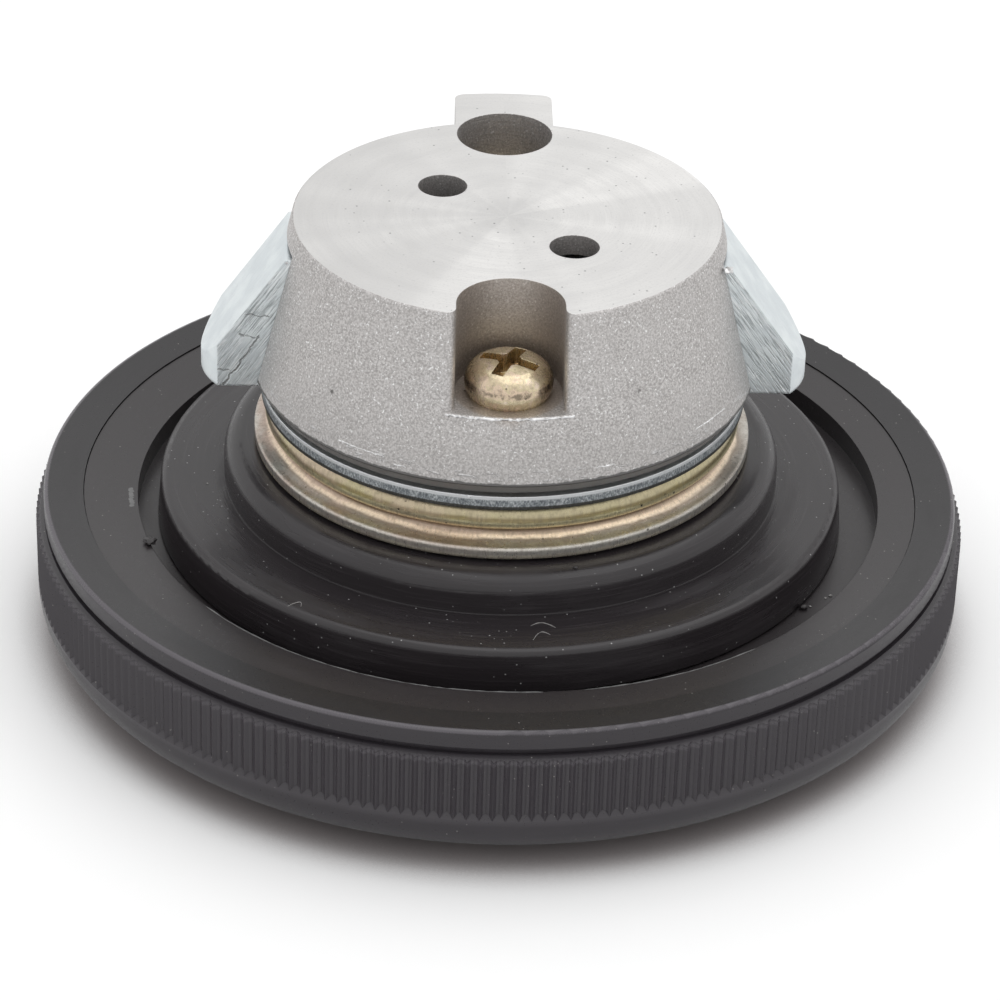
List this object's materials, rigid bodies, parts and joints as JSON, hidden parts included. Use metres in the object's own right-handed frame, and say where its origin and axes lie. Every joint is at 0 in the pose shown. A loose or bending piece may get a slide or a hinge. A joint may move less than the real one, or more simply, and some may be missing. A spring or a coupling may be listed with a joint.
{
  "type": "fuel filler cap",
  "caption": "Lockable slam-latch fuel filler cap: knurled black cover, stepped rubber gasket, die-cast lock housing with two ramped latch bolts.",
  "frame": {"origin": "centre of the bounding box's base, on the floor below the outer face", "axes": "+Z along the cap's axis from the outer face to the lock housing; the latch bolts point along X and the screw notch faces -Y"},
  "size_m": [0.0978, 0.0978, 0.0472],
  "materials": {
    "cover_plastic": "satin black moulded plastic",
    "body_plastic": "matt black moulded plastic",
    "gasket_rubber": "black moulded rubber",
    "yellow_zinc": "yellow zinc plated steel",
    "zinc_plate": "blue zinc plated steel",
    "die_casting": "as-cast with a machined top",
    "bolt_zinc": "pale zinc die casting",
    "spring_steel": "spring steel",
    "lock_metal": "plain zinc die casting",
    "plug_metal": "plain brass",
    "face_zinc": "satin zinc"
  },
  "bodies": {
    "cap": {"cover_shell": "cover_plastic", "inner_body": "body_plastic", "gasket": "gasket_rubber", "gasket_cup": "yellow_zinc", "thrust_washer": "zinc_plate", "lock_housing": "die_casting", "bolt_spring_left": "spring_steel", "bolt_spring_right": "spring_steel", "screw_front": "yellow_zinc", "screw_back": "yellow_zinc", "lock_barrel": "lock_metal", "barrel_o_ring": "gasket_rubber", "barrel_clip": "spring_steel", "lock_face_plate": "face_zinc", "dust_cover_rivet": "zinc_plate", "dust_cover_washer": "spring_steel"},
    "lock_rotor": {"key_plug": "plug_metal", "wafer_tumblers": "plug_metal", "cam_driver": "zinc_plate", "cam_screw": "zinc_plate"},
    "bolt_left": {"latch_bolt_left": "bolt_zinc"},
    "bolt_right": {"latch_bolt_right": "bolt_zinc"},
    "keyhole_cover": {"dust_cover": "face_zinc"}
  },
  "joints": [
    {"name": "key_turn", "type": "hinge", "parent": "cap", "child": "lock_rotor", "pos_m": [0, 0, 0.02], "axis": [0, 0, 1], "range_deg": [0, 90]},
    {"name": "latch_left", "type": "slide", "parent": "cap", "child": "bolt_left", "axis": [1, 0, 0], "range_m": [0, 0.0052], "stiffness_N_per_m": 800, "deforming": ["bolt_spring_left"]},
    {"name": "latch_right", "type": "slide", "parent": "cap", "child": "bolt_right", "axis": [-1, 0, 0], "range_m": [0, 0.0052], "deforming": ["bolt_spring_right"]},
    {"name": "dust_swing", "type": "hinge", "parent": "cap", "child": "keyhole_cover", "pos_m": [0, 0.00969, 0.0016], "axis": [0, 0, 1], "range_deg": [0, 90]}
  ],
  "couplings": [
    {"joint": "key_turn", "follows": "latch_left", "rad_per_m": 302.08},
    {"joint": "latch_right", "follows": "latch_left", "ratio": 1}
  ]
}
